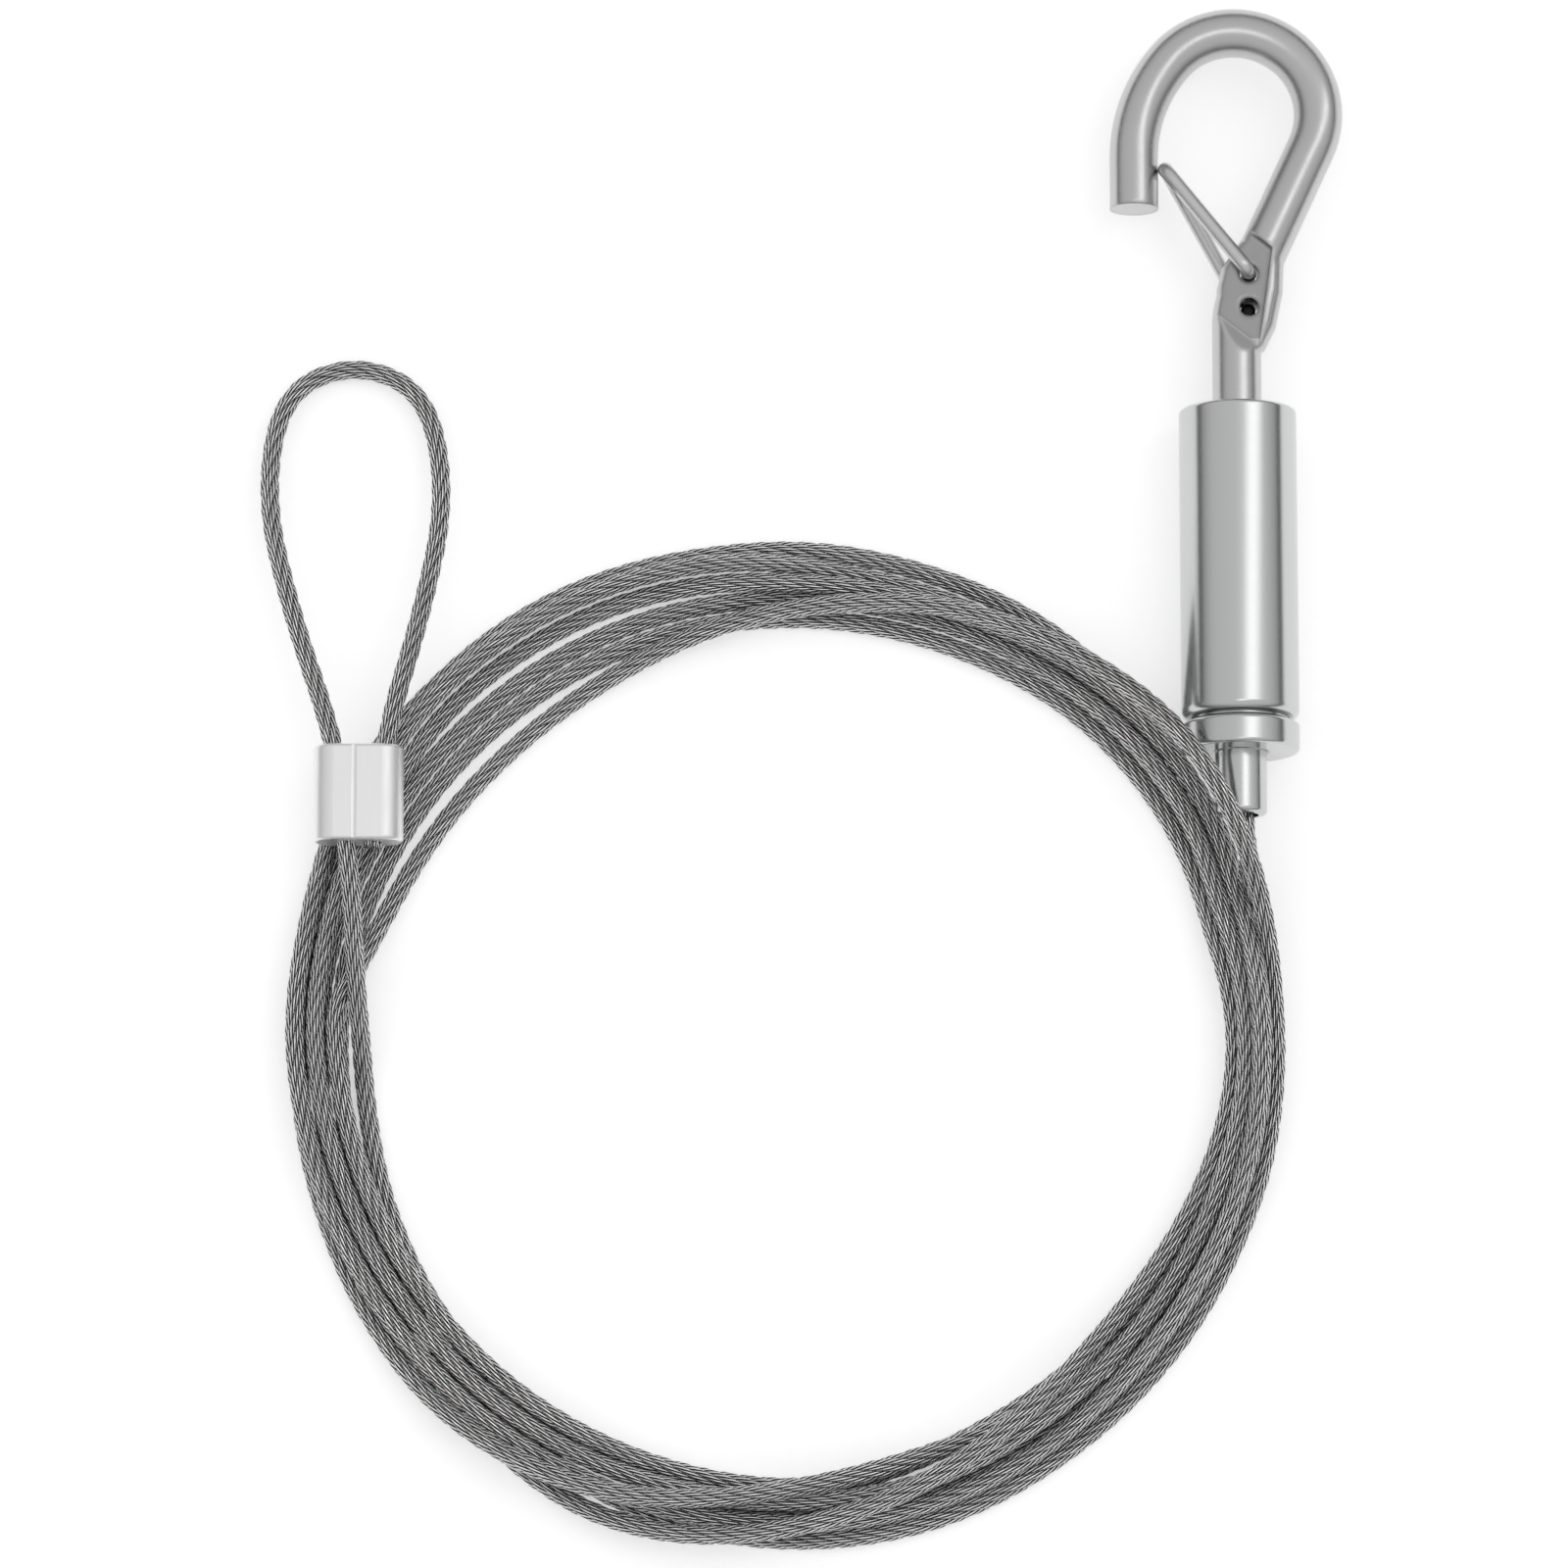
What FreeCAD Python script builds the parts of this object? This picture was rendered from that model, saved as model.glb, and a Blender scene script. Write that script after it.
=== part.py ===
"""Wire rope sling with 2.12 m of 2 mm rope: swaged eye at one end, ball gripper and snap hook at the other.

Millimetres, +Z up, lying flat on a surface.  The gripper axis runs along +Y and the hook points to +Y.
The coil of rope lies to -X and -Y of the gripper.  The origin is under the middle of gripper and hook.
"""
import FreeCAD
import Part
import Sketcher
import math
import os
import re

V = FreeCAD.Vector
Z_AXIS = V(0, 0, 1)
doc = FreeCAD.newDocument("wire_rope_sling")

# Driving dimensions in mm and degrees.  y values are positions along the gripper axis.
SIZES = {
    "axis_x": 0.87,
    "axis_z": 6.0,
    "barrel_r": 6.0,
    "barrel_top": -0.3,
    "barrel_foot": -32.4,
    "barrel_bore_r": 4.7,
    "barrel_round": 0.9,
    "top_wall": 4.0,
    "shank_bore_r": 2.57,
    "thread_r": 5.0,
    "thread_depth": 0.36,
    "thread_pitch": 0.75,
    "thread_top": -26.2,
    "flange_top": -32.9,
    "flange_foot": -35.8,
    "flange_round": 0.4,
    "plug_bore_r": 2.7,
    "plug_mouth": 0.25,
    "plug_well_r": 3.5,
    "plug_well_floor": -29.8,
    "nozzle_r": 2.625,
    "nozzle_tip": -42.3,
    "nozzle_bore_r": 1.75,
    "nozzle_round": 0.5,
    "nozzle_collar_r": 3.4,
    "nozzle_collar_foot": -29.7,
    "nozzle_top": -28.4,
    "cage_r": 2.55,
    "cage_bore_r": 1.3,
    "cage_top": -17.5,
    "pocket_r": 1.15,
    "ball_r": 1.1,
    "ball_ring_r": 2.105,
    "ball_y": -21.2,
    "sleeve_bore_r": 2.63,
    "sleeve_throat": -24.9,
    "cone_half_angle": 8.0,
    "cone_clear": 0.01,
    "sleeve_top": -15.2,
    "spring_r": 2.3,
    "spring_wire_r": 0.25,
    "spring_turns": 3.5,
    "spring_gap": 0.3,
    "seat_foot": -13.0,
    "seat_top": -12.0,
    "seat_hole_r": 1.6,
    "outlet_r": 1.7,
    "outlet_y": -9.6,
    "outlet_tilt": 35.0,
    "washer_r": 4.3,
    "washer_top": -4.35,
    "washer_foot": -5.25,
    "washer_bore_r": 2.57,
    "shank_r": 2.5,
    "shank_foot": -5.3,
    "spigot_r": 1.6,
    "spigot_foot": -8.0,
    "collar_r": 4.2,
    "collar_foot": -7.6,
    "bend_y": 8.7,
    "bend_r": 8.0,
    "hook_lean": 24.7,
    "hook_leg": 17.0,
    "crown_r": 8.65,
    "crown_sweep": 164.7,
    "side_r": 15.9,
    "nose_len": 5.4,
    "plate_half": 2.05,
    "plate_round": 1.6,
    "flat_half": 1.6,
    "ridge_x": 3.05,
    "ridge_y": 11.6,
    "ridge_lean": 8.5,
    "ridge_foot": 8.0,
    "fold_x": -0.2,
    "fold_y": 8.2,
    "fold_lean": -38.0,
    "ramp_rise": 1.6,
    "ramp_run": 3.0,
    "flat_reach": 14.0,
    "flat_end_y": 16.9,
    "flat_end_slope": 0.8,
    "hole_r": 0.95,
    "hole_x": 1.25,
    "hole_high_y": 13.85,
    "hole_low_y": 10.35,
    "gate_wire_r": 0.75,
    "gate_half": 2.4,
    "gate_tip_x": -7.38,
    "gate_tip_y": 24.75,
    "rear_tip_x": -6.66,
    "rear_tip_y": 25.3,
    "gate_pin_end": 0.2,
    "rope_d": 2.0,
    "rope_foot_y": -10.4,
    "inlet_end_y": -33.0,
    "ferrule_x": -88.55,
    "ferrule_y": -40.2,
    "ferrule_z": 6.2,
    "ferrule_len": 9.9,
    "lobe_x": 2.45,
    "lobe_thick": 4.3,
    "groove_x": -0.4,
    "groove_r": 0.6,
    "groove_depth": 0.08,
    "ferrule_round": 0.4,
    "coil_x": -45.3,
    "coil_y": -65.2,
    "coil_edge": 1.3,
    "coil_clear": 0.35,
}
sheet = doc.addObject("Spreadsheet::Sheet", "sizes")
for row, (alias, value) in enumerate(SIZES.items(), start=1):
    sheet.set(f"A{row}", alias)
    sheet.set(f"B{row}", str(value))
    sheet.setAlias(f"B{row}", alias)
doc.recompute()


def cells(text):
    """Turn the size names in an expression into spreadsheet cells."""
    return re.sub(r"[a-z][a-z_]*[a-z]", lambda m: f"sizes.{m[0]}" if m[0] in SIZES else m[0], str(text))


def number(text):
    return float(sheet.evalExpression(cells(text)))


def bind(obj, **expressions):
    """Drive properties from the sheet; a double underscore stands for a dot in the property path."""
    for name, text in expressions.items():
        obj.setExpression(name.replace("__", "."), cells(text))
    return obj


def place(obj, x=0, y=0, z=0, turn=None):
    """Put an object at expressions x, y, z, turned by an optional rotation."""
    obj.Placement = FreeCAD.Placement(V(number(x), number(y), number(z)), turn or FreeCAD.Rotation())
    return bind(obj, Placement__Base__x=x, Placement__Base__y=y, Placement__Base__z=z)


def on_axis(obj):
    """Move an object that is drawn about its own y axis onto the gripper axis."""
    return place(obj, "axis_x", 0, "axis_z")


def draw(sketch, corners):
    """Draw a closed outline whose corners are pairs of expressions, each bound to the sheet."""
    points = [V(number(x), number(y), 0) for x, y in corners]
    count = len(points)
    for i in range(count):
        sketch.addGeometry(Part.LineSegment(points[i], points[(i + 1) % count]), False)
    for i in range(count):
        sketch.addConstraint(Sketcher.Constraint("Coincident", i, 2, (i + 1) % count, 1))
    for i, (x, y) in enumerate(corners):
        for kind, text, value in (("DistanceX", x, points[i].x), ("DistanceY", y, points[i].y)):
            index = sketch.addConstraint(Sketcher.Constraint(kind, -1, 1, i, 1, value))
            sketch.setExpression(f"Constraints[{index}]", cells(text))


def turned(name, corners):
    """A body revolved about the y axis from an outline of (radius, y) corners."""
    body = doc.addObject("PartDesign::Body", name)
    sketch = body.newObject("Sketcher::SketchObject", f"{name}_outline")
    plane = next(f for f in body.Origin.OriginFeatures if f.Role == "XY_Plane")
    sketch.AttachmentSupport = [(plane, "")]
    sketch.MapMode = "FlatFace"
    draw(sketch, corners)
    turn = body.newObject("PartDesign::Revolution", f"{name}_turning")
    turn.Profile = sketch
    turn.ReferenceAxis = (sketch, ["V_Axis"])
    turn.Angle = 360
    doc.recompute()
    return body


def prism(name, corners, height, turn=None):
    """A straight solid on both sides of its outline; height is the whole height."""
    sketch = doc.addObject("Sketcher::SketchObject", f"{name}_outline")
    if turn:
        sketch.Placement = FreeCAD.Placement(V(0, 0, 0), turn)
    draw(sketch, corners)
    solid = doc.addObject("Part::Extrusion", name)
    solid.Base = sketch
    solid.DirMode = "Normal"
    solid.Solid = True
    solid.Symmetric = True
    bind(solid, LengthFwd=height)
    doc.recompute()
    return solid


def rod(name, radius, height, x=0, y=0, z=0, turn=None):
    cylinder = doc.addObject("Part::Cylinder", name)
    bind(cylinder, Radius=radius, Height=height)
    return place(cylinder, x, y, z, turn)


def arc(name, radius, bar, sweep, x, y, start):
    """A bend of round bar in the xy plane, from the start angle counterclockwise by sweep."""
    bend = doc.addObject("Part::Torus", name)
    bind(bend, Radius1=radius, Radius2=bar, Angle3=sweep)
    place(bend, x, y, 0, FreeCAD.Rotation(Z_AXIS, number(start)))
    return bind(bend, Placement__Rotation__Angle=start)


def join(name, parts):
    fused = doc.addObject("Part::MultiFuse", name)
    fused.Shapes = parts
    fused.Refine = True
    doc.recompute()
    return fused


def cut(name, base, tool):
    left = doc.addObject("Part::Cut", name)
    left.Base = base
    left.Tool = tool
    doc.recompute()
    return left


def rounded(name, base, radius, wanted):
    """Fillet every edge of base for which wanted(edge) is true."""
    fillet = doc.addObject("Part::Fillet", name)
    fillet.Base = base
    value = number(radius)
    fillet.Edges = [(i, value, value) for i, e in enumerate(base.Shape.Edges, start=1) if wanted(e)]
    doc.recompute()
    return fillet


def rim(radius, y):
    """Test for the full circular edge of this radius about the y axis at y."""
    r, at = number(radius), number(y)
    return lambda e: (
        isinstance(e.Curve, Part.Circle)
        and abs(e.Curve.Radius - r) < 1e-4
        and abs(e.Curve.Center.y - at) < 1e-4
    )


# ---------------------------------------------------------------- barrel with its top wall and rope outlet
ALONG_Y = FreeCAD.Rotation(V(1, 0, 0), -90)
barrel_body = turned("barrel_turned", [
    ("thread_r", "barrel_foot"),
    ("barrel_r", "barrel_foot"),
    ("barrel_r", "barrel_top"),
    ("shank_bore_r", "barrel_top"),
    ("shank_bore_r", "barrel_top - top_wall"),
    ("barrel_bore_r", "barrel_top - top_wall"),
    ("barrel_bore_r", "thread_top"),
    ("thread_r", "thread_top"),
])
outlet = rod("outlet_bore", "outlet_r", "3 * barrel_r", 0, "outlet_y", 0,
             FreeCAD.Rotation(V(1, 0, 0), 180 - number("outlet_tilt")))
barrel_cut = cut("barrel_bored", barrel_body, outlet)
barrel_low = rounded("barrel_low_round", barrel_cut, "barrel_round", rim("barrel_r", "barrel_foot"))
barrel = on_axis(rounded("barrel", barrel_low, "flange_round", rim("barrel_r", "barrel_top")))

# ---------------------------------------------------------------- threaded end plug with its flange
crests = []
for i in range(8):
    crest = f"flange_top + {i} * thread_pitch"
    crests += [
        ("thread_r - thread_depth", f"{crest} + thread_pitch * 0.1"),
        ("thread_r", f"{crest} + thread_pitch * 0.45"),
        ("thread_r", f"{crest} + thread_pitch * 0.6"),
        ("thread_r - thread_depth", f"{crest} + thread_pitch * 0.95"),
    ]
plug_body = turned("plug_turned", [
    ("plug_bore_r + plug_mouth", "flange_foot"),
    ("barrel_r", "flange_foot"),
    ("barrel_r", "flange_top"),
    *crests,
    ("thread_r - thread_depth", "thread_top"),
    ("plug_well_r", "thread_top"),
    ("plug_well_r", "plug_well_floor"),
    ("plug_bore_r", "plug_well_floor"),
    ("plug_bore_r", "flange_foot + plug_mouth"),
])
end_plug = on_axis(rounded(
    "end_plug", plug_body, "flange_round",
    lambda e: rim("barrel_r", "flange_foot")(e) or rim("barrel_r", "flange_top")(e),
))

# ---------------------------------------------------------------- release nozzle and ball cage
nozzle_body = turned("nozzle_turned", [
    ("nozzle_bore_r", "nozzle_tip"),
    ("nozzle_r", "nozzle_tip"),
    ("nozzle_r", "nozzle_collar_foot"),
    ("nozzle_collar_r", "nozzle_collar_foot"),
    ("nozzle_collar_r", "nozzle_top"),
    ("nozzle_bore_r", "nozzle_top"),
])
nozzle = on_axis(rounded("release_nozzle", nozzle_body, "nozzle_round", rim("nozzle_r", "nozzle_tip")))

cage_body = turned("cage_turned", [
    ("cage_bore_r", "nozzle_top"),
    ("cage_r", "nozzle_top"),
    ("cage_r", "cage_top"),
    ("cage_bore_r", "cage_top"),
])
THIRDS = (90, 210, 330)
pockets = join("ball_pockets", [
    rod(f"pocket_bore_{i}", "pocket_r", "2 * cage_r", 0, "ball_y", 0, FreeCAD.Rotation(V(0, 1, 0), turn))
    for i, turn in enumerate(THIRDS, start=1)
])
on_axis(cut("ball_cage", cage_body, pockets))

for i, turn in enumerate(THIRDS, start=1):
    ball = doc.addObject("Part::Sphere", f"ball_{i}")
    bind(ball, Radius="ball_r")
    place(ball, f"axis_x + ball_ring_r * sin({turn})", "ball_y", f"axis_z + ball_ring_r * cos({turn})")

# ---------------------------------------------------------------- hardened cone sleeve, spring and seat
cone_at_ball = "ball_ring_r + ball_r / cos(cone_half_angle) + cone_clear"
slope = "tan(cone_half_angle)"
on_axis(turned("cone_sleeve", [
    ("sleeve_bore_r", "thread_top"),
    ("barrel_bore_r", "thread_top"),
    ("barrel_bore_r", "sleeve_top"),
    (f"{cone_at_ball} + (sleeve_top - ball_y) * {slope}", "sleeve_top"),
    (f"{cone_at_ball} + (sleeve_throat - ball_y) * {slope}", "sleeve_throat"),
    ("sleeve_bore_r", "sleeve_throat - 0.1"),
]))
helix = doc.addObject("Part::Helix", "spring_line")
spring_rise = "(seat_foot - cage_top - 2 * spring_gap)"
bind(helix, Pitch=f"{spring_rise} / spring_turns", Height=spring_rise, Radius="spring_r")
place(helix, 0, "cage_top + spring_gap", 0, ALONG_Y)
wire_section = doc.addObject("Part::Circle", "spring_section")
bind(wire_section, Radius="spring_wire_r")
place(wire_section, "spring_r", "cage_top + spring_gap", 0)
spring = doc.addObject("Part::Sweep", "release_spring")
spring.Sections = [wire_section]
spring.Spine = (helix, ["Edge1"])
spring.Solid = True
spring.Frenet = True
doc.recompute()
on_axis(spring)
on_axis(turned("spring_seat", [
    ("seat_hole_r", "seat_foot"),
    ("barrel_bore_r", "seat_foot"),
    ("barrel_bore_r", "seat_top"),
    ("seat_hole_r", "seat_top"),
]))

# ---------------------------------------------------------------- swivel: washer and riveted collar
on_axis(turned("thrust_washer", [
    ("washer_bore_r", "washer_foot"),
    ("washer_r", "washer_foot"),
    ("washer_r", "washer_top"),
    ("washer_bore_r", "washer_top"),
]))
on_axis(turned("retaining_collar", [
    ("spigot_r", "collar_foot"),
    ("collar_r", "collar_foot"),
    ("collar_r", "shank_foot"),
    ("spigot_r", "shank_foot"),
]))

# ---------------------------------------------------------------- hook: bent bar with a coined eye plate
shank = turned("hook_shank", [
    ("0", "spigot_foot"),
    ("spigot_r - 0.2", "spigot_foot"),
    ("spigot_r", "spigot_foot + 0.2"),
    ("spigot_r", "shank_foot"),
    ("shank_r", "shank_foot"),
    ("shank_r", "bend_y"),
    ("0", "bend_y"),
])
leg_x = "(bend_r * (1 - cos(hook_lean)))"
leg_y = "(bend_y + bend_r * sin(hook_lean))"
crown_x = f"({leg_x} + hook_leg * sin(hook_lean) - crown_r * cos(hook_lean))"
crown_y = f"({leg_y} + hook_leg * cos(hook_lean) + crown_r * sin(hook_lean))"
crown_end = "(crown_sweep - hook_lean)"
side_x = f"({crown_x} + (crown_r - side_r) * cos({crown_end}))"
side_y = f"({crown_y} + (crown_r - side_r) * sin({crown_end}))"
hook_bend = arc("hook_bend", "bend_r", "shank_r", "hook_lean", "bend_r", "bend_y", "180 - hook_lean")
hook_leg = rod("hook_leg_bar", "shank_r", "hook_leg", leg_x, leg_y, 0,
               FreeCAD.Rotation(Z_AXIS, -number("hook_lean")) * ALONG_Y)
hook_crown = arc("hook_crown", "crown_r", "shank_r", "crown_sweep", crown_x, crown_y, "-hook_lean")
hook_side = arc("hook_side", "side_r", "shank_r", f"180 - {crown_end}", side_x, side_y, crown_end)
hook_nose = rod("hook_nose", "shank_r", "nose_len", f"{side_x} - side_r", side_y, 0,
                FreeCAD.Rotation(V(1, 0, 0), 90))
plate_flat = prism("hook_plate_flat", [
    ("-1.2", "5.4"),
    ("-2.1", "7.9"),
    ("-2.0", "12.4"),
    ("-1.5", "14.6"),
    ("0.5", "17.6"),
    ("4.4", "17.6"),
    ("4.9", "15.7"),
    ("4.75", "12.0"),
    ("4.0", "8.4"),
    ("2.9", "6.2"),
    ("1.2", "4.8"),
], "2 * plate_half")
plate = rounded("hook_plate", plate_flat, "plate_round",
                lambda e: abs(e.Vertexes[0].Z - e.Vertexes[1].Z) < 1e-6)
bar = join("hook_bar", [shank, hook_bend, hook_leg, hook_crown, hook_side, hook_nose, plate])

ALONG_X = FreeCAD.Rotation(V(1, 1, 1), 120)
fold = FreeCAD.Rotation(Z_AXIS, number("fold_lean"))
flats = []
for side, name in ((1, "front"), (-1, "back")):
    ramp = prism(f"flat_{name}_ramp", [
        ("-ramp_run", f"{side} * (flat_half + ramp_rise)"),
        ("0", f"{side} * flat_half"),
        ("flat_reach", f"{side} * flat_half"),
        ("flat_reach", f"{side} * (flat_half + ramp_rise)"),
    ], "2 * flat_reach", ALONG_X)
    ramp.Placement = FreeCAD.Placement(V(number("fold_x"), number("fold_y"), 0), fold)
    flats.append(ramp)
beyond = prism("flat_limits", [
    ("ridge_x - flat_reach", "flat_end_y + flat_reach * flat_end_slope"),
    ("ridge_x + 0.6", "flat_end_y - 0.6 * flat_end_slope"),
    ("ridge_x - ridge_foot * tan(ridge_lean)", "ridge_y - ridge_foot"),
    ("ridge_x + flat_reach", "ridge_y - ridge_foot"),
    ("ridge_x + flat_reach", "flat_end_y + flat_reach"),
    ("ridge_x - flat_reach", "flat_end_y + flat_reach"),
], "4 * plate_half")
flat_cutter = cut("flat_cutter", join("flat_ramps", flats), beyond)
pin_holes = [
    rod(f"pin_hole_{name}", "hole_r", "4 * plate_half", "hole_x", y, "-2 * plate_half")
    for name, y in (("high", "hole_high_y"), ("low", "hole_low_y"))
]
on_axis(cut("hook", bar, join("hook_cutters", [flat_cutter, *pin_holes])))


# ---------------------------------------------------------------- bent wire and rope tubes
def bend_line(points, radii):
    """A wire of straight runs joined by tangent arcs; radii has one value for each inner point."""
    edges = []
    start = points[0]
    for before, corner, after, radius in zip(points, points[1:], points[2:], radii):
        back = (before - corner).normalize()
        on = (after - corner).normalize()
        half_turn = (math.pi - back.getAngle(on)) / 2
        reach = radius * math.tan(half_turn)
        first = corner + back * reach
        last = corner + on * reach
        middle = (back + on).normalize()
        apex = corner + middle * (radius / math.cos(half_turn) - radius)
        edges.append(Part.LineSegment(start, first).toShape())
        edges.append(Part.Arc(first, apex, last).toShape())
        start = last
    edges.append(Part.LineSegment(start, points[-1]).toShape())
    return Part.Wire(edges)


def tube(points, radii, radius):
    """A solid round bar along the bent line."""
    line = bend_line(points, radii)
    circle = Part.Wire(Part.makeCircle(radius, points[0], points[1] - points[0]))
    return line.makePipeShell([circle], True, False), line


def keep(name, shape):
    feature = doc.addObject("Part::Feature", name)
    feature.Shape = shape
    return feature


AXIS = V(number("axis_x"), 0, number("axis_z"))
half, pin_x, pin_end = number("gate_half"), number("hole_x"), number("gate_pin_end")
high_y, low_y = number("hole_high_y"), number("hole_low_y")
tip = V(number("gate_tip_x"), number("gate_tip_y"), 0)
PIN_BEND, TIP_BEND = 1.1, 1.2
wire_r = number("gate_wire_r")
rear_pin = V(pin_x, low_y, -half)
rear_tip = V(number("rear_tip_x"), number("rear_tip_y"), -half)
rear_start = rear_tip + (rear_pin - rear_tip).normalize() * (TIP_BEND + 0.6)
front_points = [
    V(pin_x, high_y, pin_end), V(pin_x, high_y, half), V(tip.x, tip.y, half), rear_tip, rear_start,
]
rear_points = [rear_start, rear_pin, V(pin_x, low_y, -pin_end)]
gate_front, _ = tube([p + AXIS for p in front_points], [PIN_BEND, TIP_BEND, TIP_BEND], wire_r)
gate_rear, _ = tube([p + AXIS for p in rear_points], [PIN_BEND], wire_r)
keep("gate", gate_front)
keep("gate_rear_leg", gate_rear)

# Each rope run is a short list of chosen points in the frame of the whole part.
LEAD = [(0.87, -33.0, 6.0), (0.87, -38.0, 6.0), (1.35, -44.5, 5.7), (2.0, -49.5, 3.9), (3.0, -54.5, 1.9),
        (4.0, -59.5, 1.1)]
EYE = [(-87.1, -45.7, 6.2), (-86.3, -35.2, 6.2), (-82.2, -20.6, 4.6), (-80.0, -8.5, 3.0),
       (-82.1, 2.7, 1.6), (-89.6, 6.1, 1.1), (-97.0, 2.7, 1.6), (-98.6, -8.5, 3.0), (-95.8, -20.6, 4.6),
       (-90.8, -35.2, 6.2), (-89.7, -45.2, 6.2)]
FERRULE_LEAD = [(-89.7, -45.2, 6.2), (-89.1, -50.65, 6.2), (-88.8, -57.8, 4.9), (-88.2, -65.0, 3.0)]


def rope_run(name, route):
    """A plain rope tube through chosen points; prints its bend radii, length and volume check."""
    points = [V(*p) for p in route]
    runs = [(b - a).Length for a, b in zip(points, points[1:])]
    radii = []
    for i in range(1, len(points) - 1):
        back = points[i - 1] - points[i]
        on = points[i + 1] - points[i]
        half_turn = (math.pi - back.getAngle(on)) / 2
        radii.append(0.45 * min(runs[i - 1], runs[i]) / math.tan(half_turn))
    solid, line = tube(points, radii, number("rope_d / 2"))
    ratio = solid.Volume / (math.pi * number("rope_d / 2") ** 2 * line.Length)
    print(f"{name}: length {line.Length:.1f} mm, volume over section x length {ratio:.4f}")
    print(f"  bend radii {[round(r, 1) for r in radii]}, runs {[round(r, 1) for r in runs]}")
    return solid


rod("rope_inlet", "rope_d / 2", "rope_foot_y - inlet_end_y", "axis_x", "inlet_end_y", "axis_z", ALONG_Y)
keep("rope_lead", rope_run("rope_lead", LEAD))
eye_solid = rope_run("rope_eye", EYE)
keep("rope_eye", eye_solid)
keep("rope_ferrule_lead", rope_run("rope_ferrule_lead", FERRULE_LEAD))

# ---------------------------------------------------------------- swaged duplex ferrule
lobes = [
    rod(f"ferrule_lobe_{name}", "lobe_thick / 2", "ferrule_len", x, "-ferrule_len / 2", 0, ALONG_Y)
    for name, x in (("left", "-lobe_x"), ("right", "lobe_x"))
]
web = prism("ferrule_web", [
    ("-lobe_x", "-ferrule_len / 2"),
    ("lobe_x", "-ferrule_len / 2"),
    ("lobe_x", "ferrule_len / 2"),
    ("-lobe_x", "ferrule_len / 2"),
], "lobe_thick")
blank = join("ferrule_blank", lobes + [web])
ends = rounded(
    "ferrule_ends", blank, "ferrule_round",
    lambda e: all(abs(abs(v.Y) - number("ferrule_len / 2")) < 1e-4 for v in e.Vertexes),
)
grooves = [
    rod(f"ferrule_groove_{name}", "groove_r", "2 * ferrule_len", "groove_x", "-ferrule_len",
        f"{side} * (lobe_thick / 2 + groove_r - groove_depth)", ALONG_Y)
    for name, side in (("top", 1), ("under", -1))
]
ferrule_solid = place(cut("ferrule_pressed", ends, join("ferrule_grooves", grooves)),
                      "ferrule_x", "ferrule_y", "ferrule_z")
doc.recompute()
cut("ferrule", ferrule_solid, doc.getObject("rope_eye"))

# ---------------------------------------------------------------- coil: one closed ring of changing section
# Inner radius, outer radius and top height of the bundle every 15 degrees, counterclockwise from +X.
COIL = [
    (44.4, 50.6, 7.4), (44.0, 51.0, 9.2), (44.0, 51.4, 12.2), (43.9, 51.6, 10.8),
    (43.7, 52.0, 7.0), (43.3, 52.4, 5.8), (42.8, 52.4, 4.8), (41.4, 52.8, 4.0),
    (40.6, 52.9, 3.7), (40.4, 52.7, 3.7), (40.7, 52.6, 3.75), (41.5, 51.6, 4.1),
    (42.0, 50.9, 4.3), (42.0, 50.6, 4.1), (42.6, 51.1, 4.1), (43.3, 51.7, 4.7),
    (43.5, 52.2, 5.9), (43.5, 52.2, 6.1), (43.4, 51.3, 6.5), (42.4, 51.3, 7.0),
    (42.0, 51.0, 6.8), (42.3, 50.8, 5.4), (42.6, 50.7, 6.0), (43.4, 50.7, 6.7),
]


def coil_section(index):
    """The closed eight-sided section of the bundle at this step around the ring."""
    inner, outer, top = COIL[index]
    edge = number("coil_edge")
    turn = math.radians(index * 360 / len(COIL))
    outline = [
        (inner, edge), (inner + edge, 0), (outer - edge, 0), (outer, edge),
        (outer, top - edge), (outer - edge, top), (inner + edge, top), (inner, top - edge),
    ]
    middle = V(number("coil_x"), number("coil_y"), 0)
    points = [middle + V(r * math.cos(turn), r * math.sin(turn), z) for r, z in outline]
    return Part.makePolygon(points + points[:1])


coil_ring = Part.makeLoft([coil_section(i) for i in range(len(COIL))], True, False, True)
CLEARED = (
    ("nozzle", "nozzle_r + coil_clear", "nozzle_tip - coil_clear", "flange_foot"),
    ("barrel", "barrel_r + coil_clear", "flange_foot - coil_clear", "barrel_top"),
)
clearances = [
    rod(f"{name}_clearance", radius, f"{top} - ({foot})", "axis_x", foot, "axis_z", ALONG_Y)
    for name, radius, foot, top in CLEARED
]
doc.recompute()
for tool in [*clearances, doc.getObject("rope_lead"), doc.getObject("rope_ferrule_lead")]:
    coil_ring = coil_ring.cut(tool.Shape)
keep("rope_coil", coil_ring)

# ---------------------------------------------------------------- checks and files
NODES = [
    "barrel", "end_plug", "release_nozzle", "ball_cage", "ball_1", "ball_2", "ball_3", "cone_sleeve",
    "release_spring", "spring_seat", "thrust_washer", "retaining_collar", "hook", "gate", "gate_rear_leg",
    "ferrule", "rope_inlet", "rope_lead", "rope_coil", "rope_ferrule_lead", "rope_eye",
]
doc.recompute()
for obj in doc.Objects:
    if any(word in obj.State for word in ("Invalid", "Error")):
        raise SystemExit(f"{obj.Name} is {obj.State}")
os.makedirs("parts", exist_ok=True)
own = FreeCAD.BoundBox()
for name in NODES:
    obj = doc.getObject(name)
    obj.Label = name
    shape = obj.Shape
    if shape.isNull() or not shape.isValid() or len(shape.Solids) != 1:
        raise SystemExit(f"{name} is not one valid solid: {len(shape.Solids)}")
    if not name.startswith("rope") and name != "ferrule":
        own.add(shape.optimalBoundingBox())
    shape.exportStep(f"parts/{name}.step")
    print(f"{name}: {shape.Volume:.1f} mm3")
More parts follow.
